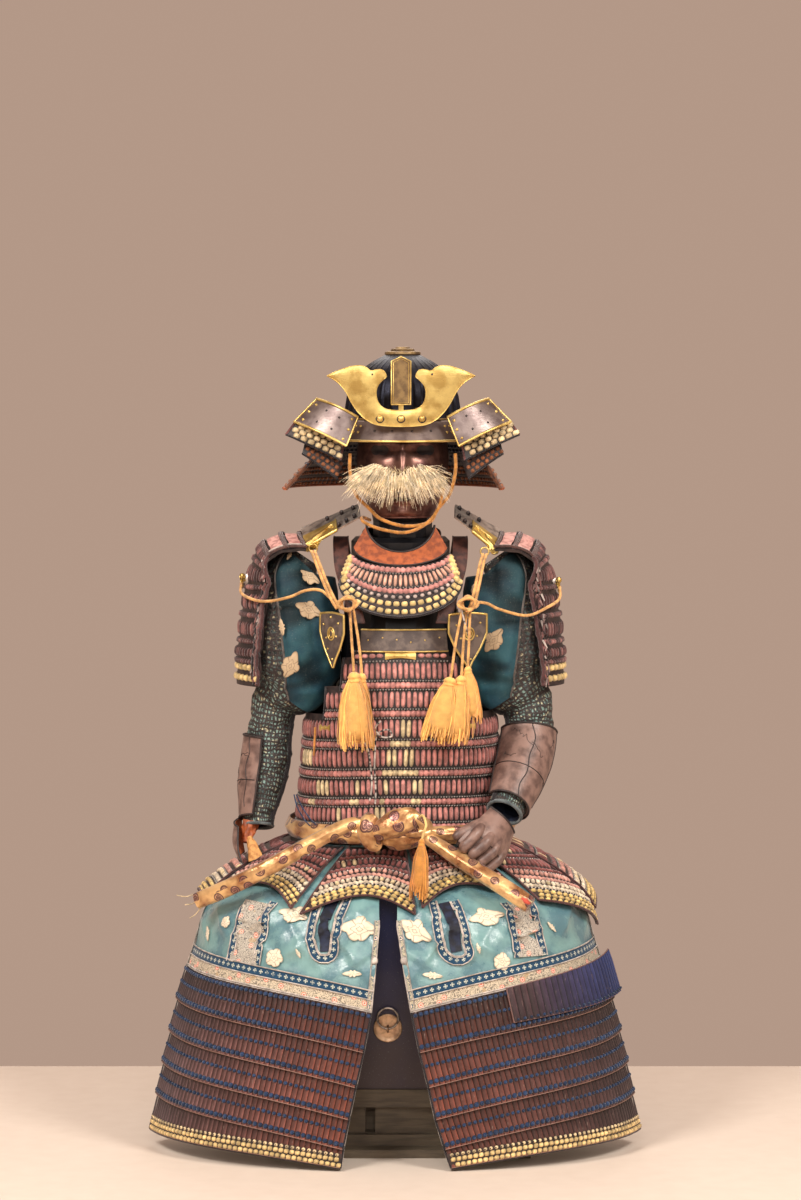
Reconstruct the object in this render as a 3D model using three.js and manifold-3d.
// A suit of Japanese armour set out on its display stand: helmet, face mask, throat guard, laced cuirass
// with nine tassets, mail sleeves, shoulder guards and thigh guards, tied with a brocade sash. It is
// worn by a plain black form that stands on a lacquered armour chest.
// Millimetres, +Z up, the wearer's face looking along -Y, origin on the floor under the form's axis.
import * as THREE from "three";
import { mergeVertices } from "three/addons/utils/BufferGeometryUtils.js";
import Module from "manifold-3d";

const wasm = await Module();
wasm.setup();

// ---------------------------------------------------------------- driving dimensions
const GAP = 0.6; // free space left at seams and between plates
const CLOTH = 2.5; // brocade with its backing
const PLATE = 3; // a lacquered lame with its lacing
const LACED_STEP = 4; // how far the lower edge of a laced row stands out
const CHEST = { width: 380, front: -205, back: 170, bottom: 118, top: 465, corner: 14 };
const HEAD_X = 4; // the helmet and mask sit a little to the wearer's left
const LAP_X = -10; // the skirt hangs a little to the wearer's right
const HELMET = { halfWidth: 105, halfDepth: 122, rim: 1328, height: 122, wall: 3 };
const CORD = 7; // braided silk cord, diameter
const CORD_SIDES = 8;
const CUIRASS_ROUND = 2.2; // exponent of the cuirass's oval section
const LAP_ROUND = 2.6; // exponent of the squarer oval that skirt and thigh guards follow

// Half-width and half-depth of the cuirass at each height.
const CUIRASS = [
  { z: 553, a: 198, b: 150 },
  { z: 616, a: 191, b: 146 },
  { z: 691, a: 184, b: 149 },
  { z: 746, a: 180, b: 150 },
  { z: 800, a: 176, b: 148 },
  { z: 860, a: 172, b: 142 },
  { z: 908, a: 168, b: 134 },
  { z: 990, a: 160, b: 122 },
];

// Half-width and half-depth of the thigh guards' cloth, over the lap and down to the hem.
const LAP = [
  { z: 0, a: 461, b: 355 },
  { z: 37, a: 455, b: 352 },
  { z: 157, a: 430, b: 344 },
  { z: 275, a: 402, b: 334 },
  { z: 338, a: 386, b: 326 },
  { z: 380, a: 372, b: 317 },
  { z: 430, a: 358, b: 300 },
  { z: 450, a: 348, b: 284 },
  { z: 470, a: 331, b: 258 },
  { z: 500, a: 292, b: 214 },
  { z: 530, a: 240, b: 168 },
  { z: 545, a: 204, b: 144 },
  { z: 552, a: 178, b: 128 },
  { z: 560, a: 168, b: 122 },
];

// The black form inside the armour, from the lap cushion to the collar disc. The cushion follows the lap.
const FORM = [
  { z: 466, x: LAP_X, a: 272, b: 216 },
  { z: 474, x: LAP_X, a: 290, b: 232 },
  { z: 500, x: LAP_X, a: 262, b: 196 },
  { z: 530, x: LAP_X, a: 212, b: 148 },
  { z: 560, x: -8, a: 148, b: 110 },
  { z: 640, x: 0, a: 148, b: 108 },
  { z: 740, x: 0, a: 142, b: 112 },
  { z: 830, x: 0, a: 112, b: 110 },
  { z: 940, x: 0, a: 106, b: 100 },
  { z: 1030, x: 0, a: 104, b: 80 },
  { z: 1062, x: 0, a: 104, b: 70 },
  { z: 1080, x: 0, a: 92, b: 72 },
  { z: 1104, x: 0, a: 92, b: 74 },
  { z: 1112, x: 0, a: 84, b: 66 },
];

// Neck and featureless head block. y is the centre of each section.
const HEAD = [
  { z: 1112.6, a: 56, b: 54, y: 0 },
  { z: 1140, a: 56, b: 54, y: 0 },
  { z: 1165, a: 60, b: 70, y: -8 },
  { z: 1240, a: 70, b: 88, y: -10 },
  { z: 1300, a: 74, b: 92, y: -6 },
  { z: 1350, a: 70, b: 86, y: 0 },
  { z: 1392, a: 52, b: 66, y: 0 },
  { z: 1414, a: 30, b: 40, y: 0 },
];

// The skirt of tassets, round from the wearer's right front: the angles each panel spans, and how high
// its lower edge is at both corners and in the middle.
const TASSETS = [
  { from: -31, to: 7, start: 450, middle: 481, end: 452 },
  { from: 10, to: 46, start: 462, middle: 498, end: 470 },
  { from: 50, to: 75, start: 466, middle: 446, end: 404 },
  { from: 79, to: 119, start: 430, middle: 442, end: 428 },
  { from: 123, to: 164, start: 430, middle: 444, end: 430 },
  { from: 168, to: 209, start: 430, middle: 444, end: 430 },
  { from: 213, to: 252, start: 428, middle: 442, end: 430 },
  { from: 256, to: 286, start: 432, middle: 456, end: 454 },
  { from: 290, to: 325, start: 456, middle: 494, end: 458 },
];
const TASSET = { top: 551, out: 14, bulge: 8, thick: 4, rows: 4 };

// Thigh guards: height of each row's lower edge at the inner and at the outer side.
const THIGH_ROWS = [
  { name: "cloth", inner: 280, outer: 329 },
  { name: "row1", inner: 211, outer: 268 },
  { name: "row2", inner: 148, outer: 207 },
  { name: "row3", inner: 92, outer: 149 },
  { name: "row4", inner: 39, outer: 90 },
  { name: "hem", inner: 5, outer: 27 },
];
const THIGH = { top: 552.5, outerAngle: 74, lameThick: 5 };
// The gap between them: where the guards' inner edges run at each height.
const SLIT = [
  { z: 0, left: -106, right: 90 },
  { z: 40, left: -101, right: 77 },
  { z: 92, left: -91, right: 61 },
  { z: 148, left: -79, right: 49 },
  { z: 210, left: -65, right: 33 },
  { z: 280, left: -52, right: 19 },
  { z: 330, left: -47, right: 10 },
  { z: 430, left: -38, right: -6 },
];

// ---------------------------------------------------------------- small tools
const rad = THREE.MathUtils.degToRad;
const lerp = THREE.MathUtils.lerp;
const vec = (x, y, z) => new THREE.Vector3(x, y, z);
const steps = (n) => Array.from({ length: n + 1 }, (_, i) => i / n);

// Reads a table's columns at height z, straight between its rows.
function atHeight(table, z, key) {
  const rows = [...table].sort((p, q) => p.z - q.z);
  if (z <= rows[0].z) return rows[0][key];
  for (let i = 1; i < rows.length; i++) {
    const [low, high] = [rows[i - 1], rows[i]];
    if (z <= high.z) return lerp(low[key], high[key], (z - low.z) / (high.z - low.z));
  }
  return rows.at(-1)[key];
}

// Point of a superellipse in direction angle (radians, 0 at the front, positive to +X).
function oval(angle, a, b, exponent) {
  const s = Math.sin(angle);
  const c = Math.cos(angle);
  const r = (Math.abs(s / a) ** exponent + Math.abs(c / b) ** exponent) ** (-1 / exponent);
  return [r * s, -r * c];
}

// Triangles over a closed set of points, turned to face out.
function facingOut(points, faces) {
  let volume = 0;
  for (const [i, j, k] of faces) volume += points[i].dot(points[j].clone().cross(points[k]));
  const index = faces.flatMap(([i, j, k]) => (volume < 0 ? [i, k, j] : [i, j, k]));
  const geometry = new THREE.BufferGeometry().setFromPoints(points);
  geometry.setIndex(index);
  geometry.computeVertexNormals();
  return geometry;
}

// A wall between two skins over the same grid: us across, vs down. A ring closes on itself across.
function shell({ outer, inner, us, vs, ring = false }) {
  const columns = ring ? us.length - 1 : us.length;
  const points = [];
  for (const skin of [outer, inner]) {
    for (const v of vs) {
      for (let i = 0; i < columns; i++) points.push(skin(us[i], v));
    }
  }
  const half = columns * vs.length;
  const at = (layer, row, column) => layer * half + row * columns + (column % columns);
  const faces = [];
  const quad = (p, q, r, s) => faces.push([p, q, r], [p, r, s]);
  const last = ring ? columns : columns - 1;
  for (let row = 0; row < vs.length - 1; row++) {
    for (let i = 0; i < last; i++) {
      quad(at(0, row, i), at(0, row + 1, i), at(0, row + 1, i + 1), at(0, row, i + 1));
      quad(at(1, row, i), at(1, row, i + 1), at(1, row + 1, i + 1), at(1, row + 1, i));
    }
    if (ring) continue;
    quad(at(0, row, 0), at(1, row, 0), at(1, row + 1, 0), at(0, row + 1, 0));
    quad(at(0, row, last), at(0, row + 1, last), at(1, row + 1, last), at(1, row, last));
  }
  const foot = vs.length - 1;
  for (let i = 0; i < last; i++) {
    quad(at(0, 0, i), at(0, 0, i + 1), at(1, 0, i + 1), at(1, 0, i));
    quad(at(0, foot, i), at(1, foot, i), at(1, foot, i + 1), at(0, foot, i + 1));
  }
  return facingOut(points, faces);
}

// The skin moved along its own normal. Seen from outside, u runs right and v runs down.
function offset(skin, distance) {
  const h = 1e-3;
  return (u, v) => {
    const across = skin(u + h, v).sub(skin(u - h, v));
    const down = skin(u, v + h).sub(skin(u, v - h));
    return skin(u, v).addScaledVector(down.cross(across).normalize(), distance);
  };
}

// A solid through closed sections, with flat ends.
function loft(sections) {
  const n = sections[0].length;
  const points = sections.flat();
  const faces = [];
  for (let s = 0; s < sections.length - 1; s++) {
    for (let i = 0; i < n; i++) {
      const [p, q] = [s * n + i, s * n + ((i + 1) % n)];
      faces.push([p, q, q + n], [p, q + n, p + n]);
    }
  }
  [0, sections.length - 1].forEach((s, end) => {
    const centre = points.length;
    points.push(sections[s].reduce((sum, p) => sum.add(p), vec(0, 0, 0)).divideScalar(n));
    for (let i = 0; i < n; i++) {
      const [p, q] = [s * n + i, s * n + ((i + 1) % n)];
      faces.push(end ? [centre, p, q] : [centre, q, p]);
    }
  });
  return facingOut(points, faces);
}

// A level oval section of a table row, as loft() wants it.
function levelSection(row, sides, exponent) {
  return steps(sides).slice(0, -1).map((t) => {
    const [x, y] = oval(2 * Math.PI * t, row.a, row.b, exponent);
    return vec(x + row.x, y + (row.y ?? 0), row.z);
  });
}

// Upright oval sections of a bundle that runs across, from rows with its centre, height and depth.
const bundle = (rows, sides) =>
  rows.map(({ x, y, z, high, deep }) =>
    steps(sides).slice(0, -1).map((t) => {
      const angle = 2 * Math.PI * t;
      return vec(x, y + deep * Math.cos(angle), z + high * Math.sin(angle));
    }),
  );

// A closed mesh as a manifold-3d solid, and back.
function solid(geometry) {
  const bare = geometry.index ? geometry.toNonIndexed() : geometry.clone();
  for (const name of ["normal", "uv"]) bare.deleteAttribute(name);
  const merged = mergeVertices(bare, 1e-3);
  return new wasm.Manifold(
    new wasm.Mesh({
      numProp: 3,
      vertProperties: merged.attributes.position.array,
      triVerts: new Uint32Array(merged.index.array),
    }),
  );
}

function geometryOf(manifold) {
  const mesh = manifold.getMesh();
  const geometry = new THREE.BufferGeometry();
  geometry.setAttribute("position", new THREE.BufferAttribute(mesh.vertProperties, 3));
  geometry.setIndex(new THREE.BufferAttribute(mesh.triVerts, 1));
  geometry.computeVertexNormals();
  return geometry;
}

const joined = (...parts) => geometryOf(parts.map(solid).reduce((sum, part) => sum.add(part)));

// A block between two corners.
function block(x0, y0, z0, x1, y1, z1) {
  const box = new THREE.BoxGeometry(x1 - x0, y1 - y0, z1 - z0);
  return box.translate((x0 + x1) / 2, (y0 + y1) / 2, (z0 + z1) / 2);
}

// A round cord along points.
function tube(points, diameter, count) {
  const path = new THREE.CatmullRomCurve3(points, false, "centripetal");
  const section = new THREE.Shape();
  section.absarc(0, 0, diameter / 2, 0, 2 * Math.PI, false);
  return new THREE.ExtrudeGeometry(section, {
    steps: count,
    curveSegments: CORD_SIDES / 2,
    bevelEnabled: false,
    extrudePath: path,
  });
}

// A flat plate standing in the XZ plane, its face looking along -Y, from an outline in x and z.
function uprightPlate(shape, thickness, curveSegments = 6) {
  const plate = new THREE.ExtrudeGeometry(shape, {
    depth: thickness,
    bevelEnabled: false,
    curveSegments,
  });
  return plate.rotateX(Math.PI / 2).translate(0, thickness / 2, 0);
}

// ---------------------------------------------------------------- finishes
const finish = (color, roughness, metalness = 0) =>
  new THREE.MeshStandardMaterial({ color, roughness, metalness });
const FINISH = {
  lacquer: finish(0x1b1a22, 0.25),
  plinth: finish(0x4d4a44, 0.7),
  form: finish(0x0c0c10, 0.6),
  brass: finish(0xb8923a, 0.35, 1),
  iron: finish(0x4a4046, 0.45, 0.8),
  russet: finish(0x5c2f24, 0.5),
  pinkLace: finish(0xa86a66, 0.8),
  creamLace: finish(0xd9bd7e, 0.8),
  leather: finish(0x8a4a26, 0.6),
  darkLeather: finish(0x5a4844, 0.55),
  brocade: finish(0x3d7f88, 0.5),
  mail: finish(0x3a4644, 0.5, 0.5),
  sash: finish(0xc59a5c, 0.4),
  cord: finish(0xd6933f, 0.8),
  hair: finish(0xd8ccb4, 0.9),
};

const armour = new THREE.Group();
function add(name, geometry, material, parent = armour) {
  const mesh = new THREE.Mesh(geometry, material);
  mesh.name = name;
  parent.add(mesh);
  return mesh;
}

// ---------------------------------------------------------------- the stand
function buildPlinth() {
  const { front, back } = CHEST;
  const baseBoard = block(-235, front - 45, 0, 235, back + 40, 15);
  const rail = block(-218, front - 6, 14, 218, back + 6, 35);
  const frieze = block(-206, front + 8, 34, 206, back - 8, 86);
  const topBoard = block(-216, front - 4, 85, 216, back + 4, CHEST.bottom - GAP);
  const slot = block(-64, front - 1, 36, -46, front + 40, 84);
  const stack = [baseBoard, rail, frieze, topBoard].map(solid).reduce((sum, part) => sum.add(part));
  add("stand_plinth", geometryOf(stack.subtract(solid(slot))), FINISH.plinth);
}

function buildChest() {
  const { width, front, back, bottom, top, corner } = CHEST;
  const [x, depth] = [width / 2, back - front];
  const outline = new THREE.Shape();
  outline.moveTo(-x + corner, 0).lineTo(x - corner, 0);
  outline.absarc(x - corner, corner, corner, -Math.PI / 2, 0, false);
  outline.lineTo(x, depth - corner);
  outline.absarc(x - corner, depth - corner, corner, 0, Math.PI / 2, false);
  outline.lineTo(-x + corner, depth);
  outline.absarc(-x + corner, depth - corner, corner, Math.PI / 2, Math.PI, false);
  outline.lineTo(-x, corner);
  outline.absarc(-x + corner, corner, corner, Math.PI, 1.5 * Math.PI, false);
  const body = new THREE.ExtrudeGeometry(outline, {
    depth: top - bottom,
    bevelEnabled: false,
    curveSegments: 4,
  });
  add("stand_chest", body.translate(0, front, bottom), FINISH.lacquer);
}

// Round back plate with its eye, and the lifting ring that turns in the eye, shown turned up.
const RING = { x: -23, z: 230, radius: 19, wire: 2, eye: 5.5, eyeWire: 2, plate: 26, plateThick: 3 };
function buildChestRing() {
  const pivotY = CHEST.front - GAP - RING.plateThick - RING.eye;
  const plate = new THREE.CylinderGeometry(RING.plate, RING.plate, RING.plateThick, 24);
  plate.translate(RING.x, CHEST.front - GAP - RING.plateThick / 2, RING.z);
  const eye = new THREE.TorusGeometry(RING.eye, RING.eyeWire, 6, 12).rotateY(Math.PI / 2);
  eye.translate(RING.x, pivotY, RING.z);
  add("chest_plate", joined(plate, eye), FINISH.iron);

  const swing = new THREE.Group();
  swing.position.set(RING.x, pivotY, RING.z);
  armour.add(swing);
  const ring = new THREE.TorusGeometry(RING.radius, RING.wire, 6, 22).rotateX(Math.PI / 2);
  add("chest_ring", ring.translate(0, 0, RING.radius), FINISH.iron, swing);
}

function buildForm() {
  add("form_body", loft(FORM.map((row) => levelSection(row, 22, CUIRASS_ROUND))), FINISH.form);
  const head = HEAD.map((row) => levelSection({ ...row, x: HEAD_X }, 14, 2));
  add("form_head", loft(head), FINISH.form);
}

// ---------------------------------------------------------------- the helmet
// The bowl with its crown fitting: one skin turned on the axis, then made longer than it is wide.
function buildBowl() {
  const { halfWidth, halfDepth, rim, height, wall } = HELMET;
  const outer = [
    [0, 135],
    [10, 133],
    [14, 128],
    [30, 124],
    [31, 117],
    [55, 107],
    [80, 88],
    [98, 58],
    [halfWidth, 24],
    [halfWidth - 1, 0],
  ];
  const inner = [
    [halfWidth - 1 - wall, 0],
    [halfWidth - wall, 24],
    [95, 57],
    [77, 86],
    [52, 104],
    [28, 115],
    [0, height - wall],
  ];
  const profile = [...outer, ...inner].reverse().map(([r, z]) => new THREE.Vector2(r, z));
  const bowl = new THREE.LatheGeometry(profile, 24).rotateX(Math.PI / 2);
  bowl.scale(1, halfDepth / halfWidth, 1).translate(HEAD_X, 0, rim);
  add("helmet_bowl", bowl, FINISH.iron);
}

// The peak: a band that flares from the rim.
const VISOR = { top: { z: 1326.5, a: 108, b: 126 }, foot: { z: 1292, a: 126, b: 152 }, half: 50 };
function buildVisor() {
  const skin = (u, v) => {
    const angle = rad(lerp(-VISOR.half, VISOR.half, u));
    const [a, b] = ["a", "b"].map((key) => lerp(VISOR.top[key], VISOR.foot[key], v));
    const [x, y] = oval(angle, a, b, 2);
    return vec(x + HEAD_X, y, lerp(VISOR.top.z, VISOR.foot.z, v));
  };
  const visor = shell({ outer: skin, inner: offset(skin, -PLATE), us: steps(14), vs: steps(2) });
  add("helmet_visor", visor, FINISH.iron);
}

// The crest: two brass horns round an open oval, with a pointed tablet on a short stem.
const CREST = { x: 1, y: -152, z: 1319, lean: 6, thick: 2.5 };
function buildCrest() {
  const half = new THREE.Path();
  half.moveTo(0, 127).lineTo(17.5, 119).lineTo(17.5, 40).lineTo(4.5, 40).lineTo(4.5, 29);
  half.quadraticCurveTo(44, 30, 45, 62);
  half.quadraticCurveTo(45, 78, 26, 90);
  half.quadraticCurveTo(28, 105, 42, 104);
  half.lineTo(55, 100);
  half.quadraticCurveTo(62, 115, 90, 109);
  half.quadraticCurveTo(114, 103, 134, 92);
  half.quadraticCurveTo(110, 82, 97, 58);
  half.quadraticCurveTo(72, 2, 32, 1);
  half.lineTo(0, 0);
  const right = half.getPoints(5);
  const left = right.slice(1, -1).reverse().map((p) => new THREE.Vector2(-p.x, p.y));
  const crest = uprightPlate(new THREE.Shape([...right, ...left]), CREST.thick);
  crest.rotateX(rad(-CREST.lean)).translate(CREST.x, CREST.y, CREST.z);
  add("helmet_crest", crest, FINISH.brass);
}

// A four-cornered plate with a forward bulge: corners in the order top in, top out, foot in, foot out.
function bulgedPlate(corners, side, bulge, thickness, columns = 4, rows = 2) {
  const [topIn, topOut, footIn, footOut] = corners.map(([x, y, z]) => vec(side * x + HEAD_X, y, z));
  const skin = (u, v) => {
    const t = side > 0 ? u : 1 - u;
    const top = topIn.clone().lerp(topOut, t);
    const foot = footIn.clone().lerp(footOut, t);
    const swell = bulge * 4 * t * (1 - t);
    return top.lerp(foot, v).add(vec(0, -swell, 0));
  };
  const inner = offset(skin, -thickness);
  return shell({ outer: skin, inner, us: steps(columns), vs: steps(rows) });
}

// The neck guard flares from the rim to a wide hem, open at the face. Its first row reaches further
// forward than the rest and turns back on each side in a laced wing. The bare plates above are turned
// back from the rim.
const NECK_GUARD = {
  top: { x: HEAD_X, z: 1322, a: 106, b: 124 },
  hem: { x: -13, z: 1202, a: 200, b: 206 },
  rows: 4,
};
const NECK_OPENING = { firstRow: 54, rest: 74, firstFoot: 0.34 };
const WINGS = {
  upper: [[81, -128, 1335], [157, -92, 1368], [102, -136, 1283], [198, -98, 1326]],
  lower: [[104, -74, 1304], [190, -92, 1334], [118, -84, 1264], [213, -98, 1303]],
};
function neckWall(open, from, to, levels, columns) {
  const { top, hem } = NECK_GUARD;
  const skin = (lift) => (u, v) => {
    const angle = rad(lerp(open, 360 - open, u));
    const down = lerp(from, to, v);
    const [centre, z, a, b] = ["x", "z", "a", "b"].map((key) => lerp(top[key], hem[key], down));
    const [x, y] = oval(angle, a + lift(v), b + lift(v), 2);
    return vec(x + centre, y, z);
  };
  const rows = (levels.length / 2) | 0;
  const step = (v) => PLATE + LACED_STEP * (rows > 1 ? (v * rows) % 1 || (v > 0 ? 1 : 0) : v);
  return shell({ outer: skin(step), inner: skin(() => 0), us: steps(columns), vs: levels });
}
function buildNeckGuard() {
  const first = neckWall(NECK_OPENING.firstRow, 0, NECK_OPENING.firstFoot, steps(1), 16);
  const rest = neckWall(NECK_OPENING.rest, 0.3, 1, steppedLevels(NECK_GUARD.rows - 1), 20);
  const wings = [-1, 1].map((side) => bulgedPlate(WINGS.lower, side, 4, PLATE));
  add("helmet_neck_guard", joined(first, rest, ...wings), FINISH.russet);
  add("turnback_left", bulgedPlate(WINGS.upper, -1, 10, PLATE), FINISH.iron);
  add("turnback_right", bulgedPlate(WINGS.upper, 1, 10, PLATE), FINISH.iron);
}

// Levels for rows that step out downwards: each row's top and foot, as fractions of the whole.
function steppedLevels(rows) {
  const hair = 1e-3;
  return steps(rows).flatMap((v, i) => (i === 0 || i === rows ? [v] : [v, v + hair]));
}

// The chin cord: down both cheeks and under the chin.
function buildHelmetCord() {
  const loop = [
    [-92, -96, 1268],
    [-92, -104, 1236],
    [-82, -112, 1196],
    [-56, -112, 1168],
    [-34, -116, 1149],
    [9, -120, 1137],
    [52, -116, 1144],
    [68, -112, 1168],
    [90, -112, 1196],
    [100, -104, 1236],
    [100, -96, 1268],
  ].map(([x, y, z]) => vec(x, y, z));
  add("helmet_cord", tube(loop, CORD, 24), FINISH.cord);
}

// ---------------------------------------------------------------- mask and throat guard
// The half mask, from under the eyes to the chin: cheeks round the head, with a plain straight nose.
const MASK = [
  { z: 1280, a: 84, b: 114, nose: 10, half: 78 },
  { z: 1256, a: 86, b: 117, nose: 20, half: 78 },
  { z: 1236, a: 85, b: 118, nose: 24, half: 78 },
  { z: 1220, a: 83, b: 118, nose: 6, half: 75 },
  { z: 1190, a: 77, b: 114, nose: 0, half: 62 },
  { z: 1158, a: 68, b: 106, nose: 0, half: 44 },
];
const NOSE_WIDTH = 13;
function buildMask() {
  const heights = MASK.map((row) => row.z);
  const skin = (u, v) => {
    const z = lerp(heights[0], heights.at(-1), v);
    const [a, b, nose, half] = ["a", "b", "nose", "half"].map((key) => atHeight(MASK, z, key));
    const [x, y] = oval(rad(lerp(-half, half, u)), a, b, 2);
    const ridge = nose * Math.exp(-((x / NOSE_WIDTH) ** 2));
    return vec(x + HEAD_X, y - ridge, z);
  };
  const span = heights[0] - heights.at(-1);
  const vs = heights.map((z) => (heights[0] - z) / span);
  add("mask", shell({ outer: skin, inner: offset(skin, -CLOTH), us: steps(18), vs }), FINISH.russet);
}

// The moustache's plain reach: a drooping bar of hair, thick in the middle.
const HAIR = [
  { x: -112, y: -138, z: 1212, high: 12, deep: 5 },
  { x: -88, y: -142, z: 1212, high: 30, deep: 12 },
  { x: -48, y: -150, z: 1218, high: 38, deep: 16 },
  { x: -6, y: -162, z: 1213, high: 30, deep: 15 },
  { x: 36, y: -150, z: 1218, high: 38, deep: 16 },
  { x: 70, y: -142, z: 1212, high: 28, deep: 12 },
  { x: 93, y: -138, z: 1212, high: 12, deep: 5 },
];
function buildMoustache() {
  add("moustache", loft(bundle(HAIR, 12)), FINISH.hair);
}

// A bib that hangs round the throat in level arcs: half-width, reach at the middle and at the ends,
// height in the middle, and rise to the ends.
const BIB = {
  neck: { w: 62, middle: 84, end: 46, z: 1088, rise: 52 },
  collar: { w: 86, middle: 102, end: 70, z: 1064, rise: 34 },
  laces: { w: 90, middle: 103, end: 71, z: 1062.5, rise: 24 },
  hem: { w: 112, middle: 164, end: 100, z: 974, rise: 62 },
};
const bib = (top, foot) => (u, v) => {
  const turn = lerp(-1, 1, u) * rad(84);
  const arc = ["w", "middle", "end", "z", "rise"].map((key) => lerp(top[key], foot[key], v));
  const [w, middle, end, z, rise] = arc;
  const lift = 1 - Math.cos(turn);
  return vec(w * Math.sin(turn), -lerp(middle, end, lift), z + rise * lift);
};
function buildThroatGuard() {
  const collar = bib(BIB.neck, BIB.collar);
  const band = shell({ outer: collar, inner: offset(collar, -PLATE), us: steps(12), vs: steps(2) });
  add("throat_collar", band, FINISH.leather);
  const lames = bib(BIB.laces, BIB.hem);
  const rows = shell({ outer: lames, inner: offset(lames, -PLATE), us: steps(14), vs: steps(4) });
  add("throat_lames", rows, FINISH.creamLace);
}

// ---------------------------------------------------------------- the cuirass
const cuirass = (angle, z, out = 0) => {
  const [a, b] = ["a", "b"].map((key) => atHeight(CUIRASS, z, key) + out);
  const [x, y] = oval(angle, a, b, CUIRASS_ROUND);
  return vec(x, y, z);
};

// A laced row bellies out a little between its edges.
const ROW_BELLY = 3;
const WAIST_LEVELS = [746, 699, 645, 598, 553];
function buildWaist() {
  WAIST_LEVELS.slice(0, -1).forEach((top, i) => {
    const foot = WAIST_LEVELS[i + 1] + GAP;
    const skin = (out) => (u, v) =>
      cuirass(2 * Math.PI * u, lerp(top, foot, v), out + ROW_BELLY * Math.sin(Math.PI * v));
    const lame = shell({ outer: skin(0), inner: skin(-PLATE), us: steps(24), vs: steps(2), ring: true });
    add(`waist_lame_${i + 1}`, lame, FINISH.pinkLace);
  });
}

// Chest and back narrow upwards between the armholes: half angle at each height.
const CHEST_EDGE = [
  { z: 746.6, half: 82 },
  { z: 802, half: 60 },
  { z: 855, half: 46 },
  { z: 907.4, half: 37 },
];
const BACK_EDGE = [
  { z: 746.6, half: 82 },
  { z: 802, half: 64 },
  { z: 880, half: 52 },
  { z: 985, half: 46 },
];
function upperWall(edge, facing, thickness, columns, levels) {
  const [foot, top] = [edge[0].z, edge.at(-1).z];
  const skin = (out) => (u, v) => {
    const z = lerp(top, foot, v);
    const half = atHeight(edge, z, "half");
    return cuirass(rad(facing + lerp(-half, half, u)), z, out);
  };
  return shell({ outer: skin(0), inner: skin(-thickness), us: steps(columns), vs: steps(levels) });
}
function buildUpperCuirass() {
  add("chest_lames", upperWall(CHEST_EDGE, 0, PLATE, 16, 5), FINISH.pinkLace);
  add("back_lames", upperWall(BACK_EDGE, 180, PLATE, 16, 6), FINISH.pinkLace);
  const boardEdge = [{ z: 908, half: 33 }, { z: 949, half: 32 }];
  add("breast_board", upperWall(boardEdge, 2.5, PLATE, 10, 2), FINISH.iron);
}

// Shoulder straps of stiff leather, from the back board over the shoulder to the chest.
const STRAP = { width: 26, thick: 4 };
const STRAP_PATH = [
  [86, 114, 992],
  [102, 94, 1048],
  [110, 48, 1098],
  [110, 0, 1112],
  [110, -42, 1097],
  [106, -76, 1056],
  [90, -106, 1006],
  [78, -124, 960],
];
function buildStraps() {
  for (const [name, side] of [["strap_left", -1], ["strap_right", 1]]) {
    const points = STRAP_PATH.map(([x, y, z]) => vec(side * x, y, z));
    const path = new THREE.CatmullRomCurve3(points, false, "centripetal");
    const skin = (u, v) => path.getPoint(v).add(vec(lerp(-0.5, 0.5, u) * STRAP.width, 0, 0));
    const across = vec(1, 0, 0);
    const inner = (u, v) => {
      const normal = path.getTangent(v).cross(across).normalize();
      return skin(u, v).addScaledVector(normal, STRAP.thick);
    };
    add(name, shell({ outer: skin, inner, us: [0, 1], vs: steps(12) }), FINISH.darkLeather);
  }
}

// Leaf-shaped plates that hang before the armpits. The left one is turned towards the sleeve.
function buildLeafPlates() {
  const leaf = new THREE.Shape();
  leaf.moveTo(-35, 98);
  leaf.quadraticCurveTo(0, 90, 35, 98);
  leaf.quadraticCurveTo(40, 62, 22, 34);
  leaf.quadraticCurveTo(8, 14, 2, 0);
  leaf.quadraticCurveTo(-10, 14, -24, 38);
  leaf.quadraticCurveTo(-40, 66, -35, 98);
  const places = [
    { name: "leaf_plate_left", x: -122, y: -146, turn: -52 },
    { name: "leaf_plate_right", x: 122, y: -150, turn: 14 },
  ];
  for (const { name, x, y, turn } of places) {
    const plate = add(name, uprightPlate(leaf, PLATE), FINISH.iron);
    plate.position.set(x, y, 881);
    plate.rotation.z = rad(turn);
  }
}

// ---------------------------------------------------------------- cords and tassels
// Each shoulder cord runs from the guard's hook to the breast, and up again to the plate's ring.
const SHOULDER_CORDS = {
  shoulder_cord_left: [
    [-294, -32, 1027],
    [-292, -56, 1010],
    [-267, -88, 1000],
    [-239, -104, 999],
    [-201, -120, 1008],
    [-174, -134, 1020],
    [-146, -148, 1022],
    [-121, -160, 1004],
    [-136, -142, 1034],
    [-152, -110, 1072],
    [-160, -88, 1090],
  ],
  shoulder_cord_right: [
    [294, -32, 1020],
    [292, -56, 1000],
    [270, -86, 987],
    [231, -108, 973],
    [181, -134, 986],
    [157, -150, 998],
    [132, -164, 1002],
    [140, -144, 1034],
    [148, -112, 1068],
    [154, -88, 1084],
  ],
};
function buildShoulderCords() {
  for (const [name, route] of Object.entries(SHOULDER_CORDS)) {
    const points = route.map(([x, y, z]) => vec(x, y, z));
    add(name, tube(points, CORD, 30), FINISH.cord);
  }
}

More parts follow.
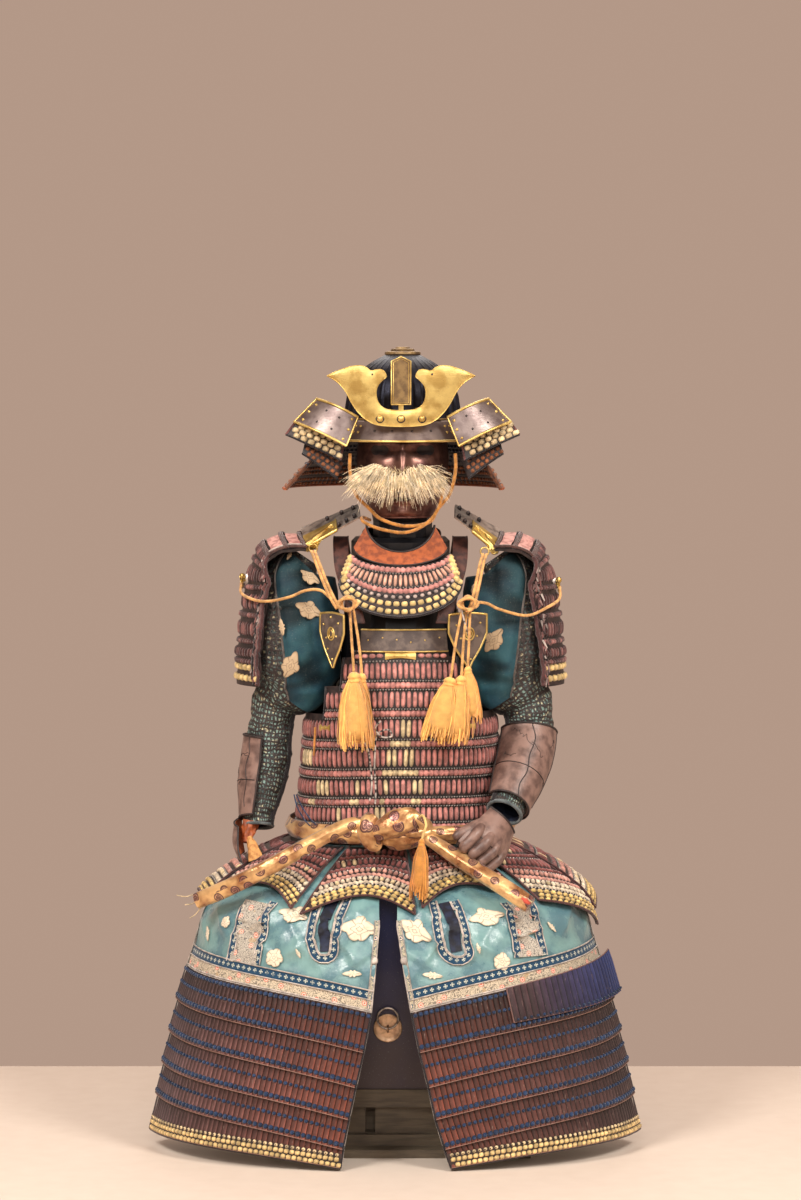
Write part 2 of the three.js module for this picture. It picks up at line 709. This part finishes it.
// A tassel on its cord, as radii down a slightly leaning line.
const TASSEL_SHAPES = {
  tassels_left: {
    from: [-84, -170, 984],
    to: [-82, -178, 736],
    radii: [[0, 6], [0.52, 6], [0.55, 14], [0.66, 25], [0.92, 33], [1, 28]],
  },
  tassels_right: {
    from: [104, -170, 986],
    to: [94, -182, 752],
    radii: [[0, 6], [0.45, 7], [0.49, 20], [0.64, 38], [0.92, 46], [1, 38]],
  },
  belt_tassel: {
    from: [40, -238, 616],
    to: [31, -294, 480],
    radii: [[0, 3.5], [0.3, 4.5], [0.34, 12], [0.48, 16], [0.94, 17], [1, 14]],
  },
};
const TASSEL_DEPTH = 0.6; // a tassel hangs flatter than it is wide
function buildTassels() {
  for (const [name, { from, to, radii }] of Object.entries(TASSEL_SHAPES)) {
    const sections = radii.map(([t, r]) => {
      const centre = vec(...from).lerp(vec(...to), t);
      return steps(12).slice(0, -1).map((s) => {
        const angle = 2 * Math.PI * s;
        return centre.clone().add(vec(r * Math.cos(angle), TASSEL_DEPTH * r * Math.sin(angle), 0));
      });
    });
    add(name, loft(sections), FINISH.cord);
  }
}

// ---------------------------------------------------------------- tassets
const lap = (angle, z, out = 0) => {
  const [a, b] = ["a", "b"].map((key) => atHeight(LAP, z, key) + out);
  const [x, y] = oval(angle, a, b, LAP_ROUND);
  return vec(x + LAP_X, y, z);
};

function buildTassets() {
  TASSETS.forEach(({ from, to, start, middle, end }, i) => {
    const skin = (lift) => (u, v) => {
      const t = lerp(-1, 1, u);
      const foot = middle + (t * (end - start)) / 2 + t * t * ((start + end) / 2 - middle);
      const swell = TASSET.bulge * (1 - t * t) * v;
      return lap(rad(lerp(from, to, u)), lerp(TASSET.top, foot, v), TASSET.out + swell + lift);
    };
    const panel = shell({
      outer: skin(0),
      inner: skin(-TASSET.thick),
      us: steps(8),
      vs: steps(TASSET.rows),
    });
    add(`tasset_${i + 1}`, panel, FINISH.pinkLace);
  });
}

// ---------------------------------------------------------------- thigh guards
// Angle of the slit's edge at a height: the two guards part from the waist down to the hem.
function slitAngle(side, z) {
  const x = atHeight(SLIT, z, side < 0 ? "left" : "right");
  return Math.atan2(x - LAP_X, atHeight(LAP, z, "b"));
}

// Point of one thigh guard: across 0 at the slit and 1 at the outer edge, heights from the row table.
function thigh(side, across, innerZ, outerZ, out) {
  const z = lerp(innerZ, outerZ, across);
  const angle = lerp(slitAngle(side, z), side * rad(THIGH.outerAngle), across);
  return lap(angle, z, out);
}

// v runs over the cloth's levels: the waist, then the rows' edges.
const THIGH_LEVELS = [{ inner: THIGH.top, outer: THIGH.top }, ...THIGH_ROWS];
function thighSkin(side, levels, out) {
  return (u, v) => {
    const across = side > 0 ? u : 1 - u;
    const place = v * (levels.length - 1);
    const i = Math.min(Math.floor(place), levels.length - 2);
    const [above, below] = [levels[i], levels[i + 1]];
    const inner = lerp(above.inner, below.inner, place - i);
    const outer = lerp(above.outer, below.outer, place - i);
    return thigh(side, across, inner, outer, out(v));
  };
}
function buildThighGuards() {
  const clothLevels = THIGH_LEVELS.length - 1;
  const clothRows = [
    ...steps(8).map((t) => t / clothLevels),
    ...steps(clothLevels).slice(2).map((t) => t),
  ];
  const lameLevels = THIGH_ROWS;
  const rows = lameLevels.length - 1;
  const step = (v) => 1 + THIGH.lameThick * 0.5 * (1 + ((v * rows) % 1 || (v > 0 ? 1 : 0)));
  for (const [name, side] of [["left", -1], ["right", 1]]) {
    const cloth = shell({
      outer: thighSkin(side, THIGH_LEVELS, () => 0),
      inner: thighSkin(side, THIGH_LEVELS, () => -CLOTH),
      us: steps(12),
      vs: clothRows,
    });
    add(`thigh_cloth_${name}`, cloth, FINISH.brocade);
    const lames = shell({
      outer: thighSkin(side, lameLevels, step),
      inner: thighSkin(side, lameLevels, () => GAP),
      us: steps(12),
      vs: steppedLevels(rows),
    });
    add(`thigh_lames_${name}`, lames, FINISH.russet);
  }
}

// ---------------------------------------------------------------- sleeves
// Centre line and half-sizes of each sleeve, from the shoulder to the wrist.
const SLEEVES = {
  left: [
    { x: -180, y: 0, z: 1076, a: 34, b: 46 },
    { x: -196, y: -2, z: 1050, a: 56, b: 66 },
    { x: -196, y: -6, z: 995, a: 74, b: 84 },
    { x: -196, y: -8, z: 930, a: 78, b: 92 },
    { x: -199, y: -8, z: 872, a: 75, b: 88 },
    { x: -208, y: -6, z: 838, a: 66, b: 72 },
    { x: -232, y: -2, z: 804, a: 44, b: 50 },
    { x: -242, y: 0, z: 750, a: 41, b: 45 },
    { x: -246, y: -4, z: 700, a: 42, b: 44 },
    { x: -254, y: -16, z: 650, a: 39, b: 39 },
    { x: -262, y: -30, z: 604, a: 30, b: 33 },
    { x: -263, y: -38, z: 578, a: 26, b: 29 },
  ],
  right: [
    { x: 180, y: 0, z: 1076, a: 34, b: 46 },
    { x: 196, y: -2, z: 1050, a: 56, b: 66 },
    { x: 196, y: -6, z: 995, a: 74, b: 84 },
    { x: 196, y: -8, z: 930, a: 78, b: 92 },
    { x: 199, y: -8, z: 872, a: 75, b: 88 },
    { x: 210, y: -10, z: 838, a: 66, b: 72 },
    { x: 234, y: -12, z: 800, a: 48, b: 52 },
    { x: 238, y: -22, z: 752, a: 44, b: 46 },
    { x: 229, y: -52, z: 708, a: 43, b: 43 },
    { x: 214, y: -88, z: 668, a: 39, b: 38 },
    { x: 200, y: -120, z: 636, a: 34, b: 32 },
    { x: 190, y: -142, z: 616, a: 31, b: 28 },
  ],
};

// Point on a sleeve's section i: turn 0 faces the front and grows towards +X.
function sleevePoint(table, i, turn, out) {
  const [from, to] = [table[Math.max(i - 1, 0)], table[Math.min(i + 1, table.length - 1)]];
  const down = vec(to.x - from.x, to.y - from.y, to.z - from.z).normalize();
  const side = down.clone().cross(vec(0, 1, 0)).normalize();
  const front = side.clone().cross(down).normalize();
  if (front.y > 0) front.negate();
  const { x, y, z, a, b } = table[i];
  return vec(x, y, z)
    .addScaledVector(side, (a + out) * Math.sin(turn))
    .addScaledVector(front, (b + out) * Math.cos(turn));
}

// Point between sections: along counts the table's rows.
function sleeve(table, turn, along, out) {
  const i = Math.min(Math.floor(along), table.length - 2);
  return sleevePoint(table, i, turn, out).lerp(sleevePoint(table, i + 1, turn, out), along - i);
}

const FOREARM = {
  left: { from: 7.2, to: 10.4, start: -165, end: -15 },
  right: { from: 7, to: 10.4, start: -80, end: 125 },
};
function buildSleeves() {
  for (const side of ["left", "right"]) {
    const table = SLEEVES[side];
    const last = table.length - 1;
    const skin = (out) => (u, v) => sleeve(table, 2 * Math.PI * u, v * last, out);
    const tubeOfCloth = shell({
      outer: skin(0),
      inner: skin(-CLOTH),
      us: steps(14),
      vs: steps(last),
      ring: true,
    });
    add(`sleeve_${side}`, tubeOfCloth, FINISH.mail);
    const { from, to, start, end } = FOREARM[side];
    const plate = (out) => (u, v) => sleeve(table, rad(lerp(start, end, u)), lerp(from, to, v), out);
    const guard = shell({ outer: plate(7), inner: plate(3), us: steps(10), vs: steps(5) });
    add(`forearm_${side}`, guard, FINISH.darkLeather);
  }
}

// A hand guard: a domed shield over the back of the hand. Rows run from the wrist to the knuckles.
const HANDS = {
  left: [
    { x: -297, y: -50, z: 586, w: 32, bow: 10 },
    { x: -296, y: -66, z: 552, w: 38, bow: 13 },
    { x: -290, y: -84, z: 526, w: 32, bow: 8 },
  ],
  right: [
    { x: 186, y: -176, z: 608, w: 34, bow: 18 },
    { x: 160, y: -206, z: 570, w: 46, bow: 26 },
    { x: 130, y: -228, z: 540, w: 44, bow: 16 },
  ],
};
const HAND_ACROSS = { left: vec(0.04, 0.98, 0.15), right: vec(0.62, 0.3, -0.72) };
const HAND_OUT = { left: vec(-1, -0.2, 0), right: vec(0.35, -0.9, 0.1) };
function buildHandGuards() {
  for (const side of ["left", "right"]) {
    const table = HANDS[side];
    const last = table.length - 1;
    const across = HAND_ACROSS[side].clone().normalize();
    const out = HAND_OUT[side].clone().normalize();
    const skin = (lift) => (u, v) => {
      const along = v * last;
      const i = Math.min(Math.floor(along), last - 1);
      const [x, y, z, w, bow] = ["x", "y", "z", "w", "bow"].map((key) =>
        lerp(table[i][key], table[i + 1][key], along - i),
      );
      const t = lerp(-1, 1, u);
      return vec(x, y, z).addScaledVector(across, t * w).addScaledVector(out, bow * (1 - t * t) + lift);
    };
    const guard = shell({ outer: skin(0), inner: skin(-PLATE), us: steps(8), vs: steps(4) });
    add(`hand_guard_${side}`, guard, FINISH.darkLeather);
  }
}

// ---------------------------------------------------------------- shoulder guards
// Profile of a guard in x and z, from the top of the shoulder down the outside of the arm.
const GUARD = [
  { x: 186, z: 1112 },
  { x: 226, z: 1110 },
  { x: 262, z: 1088 },
  { x: 282, z: 1030 },
  { x: 292, z: 960 },
  { x: 299, z: 895 },
  { x: 300, z: 840 },
];
const GUARD_SIZE = { halfDepth: 92, wrap: 44, sag: 22, thick: 5 };
function buildShoulderGuards() {
  const last = GUARD.length - 1;
  for (const [name, side] of [["left", -1], ["right", 1]]) {
    const skin = (lift) => (u, v) => {
      const along = v * last;
      const i = Math.min(Math.floor(along), last - 1);
      const [x, z] = ["x", "z"].map((key) => lerp(GUARD[i][key], GUARD[i + 1][key], along - i));
      const t = side * lerp(-1, 1, u);
      const onShoulder = THREE.MathUtils.clamp((z - 1030) / 60, 0, 1);
      const inward = GUARD_SIZE.wrap * t * t * (1 - onShoulder) + 14 * t * t * onShoulder;
      return vec(
        side * (x - inward + lift * (1 - onShoulder)),
        GUARD_SIZE.halfDepth * t,
        z - GUARD_SIZE.sag * t * t * onShoulder + lift * onShoulder,
      );
    };
    const guard = shell({
      outer: skin(GUARD_SIZE.thick),
      inner: skin(0),
      us: steps(6),
      vs: steps(last),
    });
    add(`shoulder_guard_${name}`, guard, FINISH.russet);
  }
}

// The guard's top plate: a slanting iron plate on the shoulder, high at the neck.
function buildShoulderPlates() {
  const corners = {
    left: [[-80, -4, 1172], [-186, -4, 1128], [-74, -70, 1152], [-176, -72, 1096]],
    right: [[102, -4, 1172], [184, -4, 1126], [100, -70, 1152], [176, -72, 1090]],
  };
  for (const [side, [backIn, backOut, frontIn, frontOut]] of Object.entries(corners)) {
    const skin = (u, v) => {
      const t = side === "right" ? u : 1 - u;
      const back = vec(...backIn).lerp(vec(...backOut), t);
      const front = vec(...frontIn).lerp(vec(...frontOut), t);
      return back.lerp(front, v).add(vec(0, 0, 6 * Math.sin(Math.PI * v)));
    };
    const plate = shell({ outer: skin, inner: offset(skin, -PLATE), us: steps(6), vs: steps(3) });
    add(`shoulder_plate_${side}`, plate, FINISH.iron);
  }
}

// ---------------------------------------------------------------- the sash
const SASH = { a: 212, b: 168, z: 575, high: 36, thick: 9 };
function buildSashBelt() {
  const skin = (u, v) => {
    const [x, y] = oval(2 * Math.PI * u, SASH.a, SASH.b, CUIRASS_ROUND);
    const swell = 1 + 0.02 * Math.sin(Math.PI * v);
    return vec(x * swell, y * swell, SASH.z + SASH.high * (0.5 - v));
  };
  const belt = shell({
    outer: skin,
    inner: (u, v) => {
      const [x, y] = oval(2 * Math.PI * u, SASH.a - SASH.thick, SASH.b - SASH.thick, CUIRASS_ROUND);
      return vec(x, y, SASH.z + SASH.high * (0.5 - v));
    },
    us: steps(24),
    vs: steps(2),
    ring: true,
  });
  add("sash_belt", belt, FINISH.sash);
}

// The knot: a folded bundle, widest in the middle.
const KNOT = [
  { x: -88, y: -194, z: 592, high: 20, deep: 12 },
  { x: -60, y: -200, z: 590, high: 42, deep: 19 },
  { x: -20, y: -202, z: 592, high: 47, deep: 22 },
  { x: 22, y: -200, z: 592, high: 38, deep: 20 },
  { x: 46, y: -194, z: 588, high: 20, deep: 13 },
];
// The tails: rolled ends of the sash that run down over the skirt.
const TAILS = {
  sash_tail_left: [
    { x: -98, y: -214, z: 604, high: 16, deep: 11 },
    { x: -160, y: -230, z: 572, high: 17, deep: 11 },
    { x: -240, y: -246, z: 528, high: 18, deep: 11 },
    { x: -310, y: -226, z: 490, high: 18, deep: 11 },
    { x: -370, y: -190, z: 458, high: 17, deep: 10 },
  ],
  sash_tail_right: [
    { x: 54, y: -212, z: 573, high: 15, deep: 11 },
    { x: 120, y: -244, z: 534, high: 17, deep: 11 },
    { x: 190, y: -274, z: 493, high: 18, deep: 11 },
    { x: 234, y: -294, z: 467, high: 17, deep: 10 },
  ],
};
function buildSash() {
  buildSashBelt();
  add("sash_knot", loft(bundle(KNOT, 14)), FINISH.sash);
  for (const [name, rows] of Object.entries(TAILS)) add(name, loft(bundle(rows, 12)), FINISH.sash);
}

// ---------------------------------------------------------------- the whole suit
buildPlinth();
buildChest();
buildChestRing();
buildForm();
buildBowl();
buildVisor();
buildCrest();
buildNeckGuard();
buildHelmetCord();
buildMask();
buildMoustache();
buildThroatGuard();
buildWaist();
buildUpperCuirass();
buildStraps();
buildLeafPlates();
buildShoulderCords();
buildTassels();
buildTassets();
buildThighGuards();
buildSleeves();
buildHandGuards();
buildShoulderGuards();
buildShoulderPlates();
buildSash();

export default armour;
